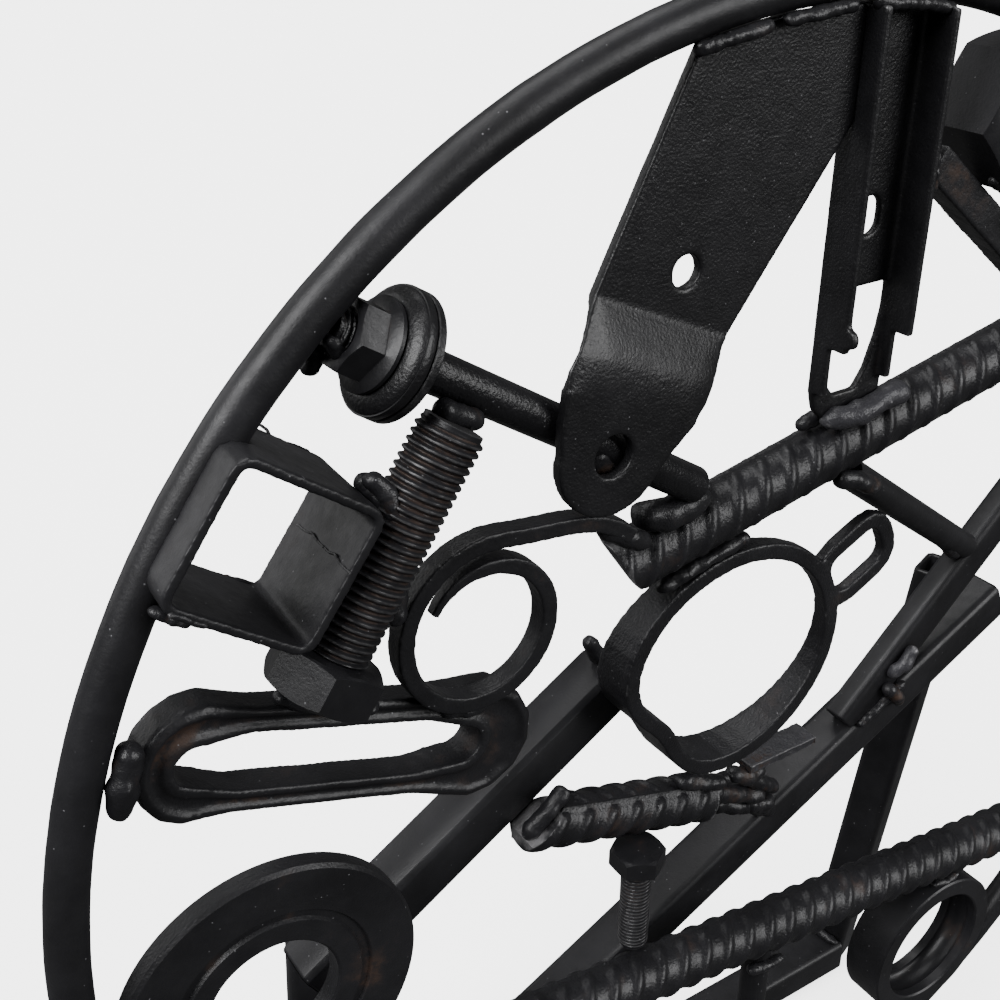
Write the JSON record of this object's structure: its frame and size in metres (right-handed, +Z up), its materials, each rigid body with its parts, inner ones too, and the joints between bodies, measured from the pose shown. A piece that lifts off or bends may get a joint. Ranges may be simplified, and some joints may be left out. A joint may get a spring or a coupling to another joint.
{
  "type": "scrap metal sculpture",
  "caption": "Openwork disc welded up from blackened scrap steel inside a round hoop, standing on two square-tube legs and a low base.",
  "frame": {"origin": "centre of the bounding box's underside, on the floor", "axes": "+Z up, the disc's open front towards -Y, +X to the right as seen from the front"},
  "size_m": [0.5382, 0.1972, 0.5584],
  "materials": {
    "black_steel": "satin black patina, worn at its edges",
    "worn_steel": "satin black, rubbed bright on its corners",
    "rebar_steel": "satin black with rubbed ribs"
  },
  "bodies": {
    "root": {"base_cross_rail": "black_steel", "base_front_rail": "black_steel", "bearing_ring": "worn_steel", "chain_link": "black_steel", "channel_bracket": "black_steel", "collar": "black_steel", "dished_washer": "black_steel", "flange_nut": "worn_steel", "flange_plate": "black_steel", "flat_washer": "black_steel", "foot_strut": "black_steel", "hex_bolt": "worn_steel", "hoop": "black_steel", "large_nut": "worn_steel", "left_brace": "black_steel", "left_leg": "black_steel", "left_pipe": "black_steel", "long_brace": "black_steel", "lower_bearing_ring": "worn_steel", "lower_rebar": "rebar_steel", "main_rebar": "rebar_steel", "right_leg": "black_steel", "right_pipe": "black_steel", "round_strut": "black_steel", "scroll": "black_steel", "second_link": "black_steel", "shim_plate": "worn_steel", "short_rebar": "rebar_steel", "small_bolt": "worn_steel", "strap_bracket": "black_steel", "stud_rod": "black_steel", "tie_bar": "black_steel", "tube_offcut": "black_steel", "tube_slice": "black_steel"}
  },
  "joints": []
}
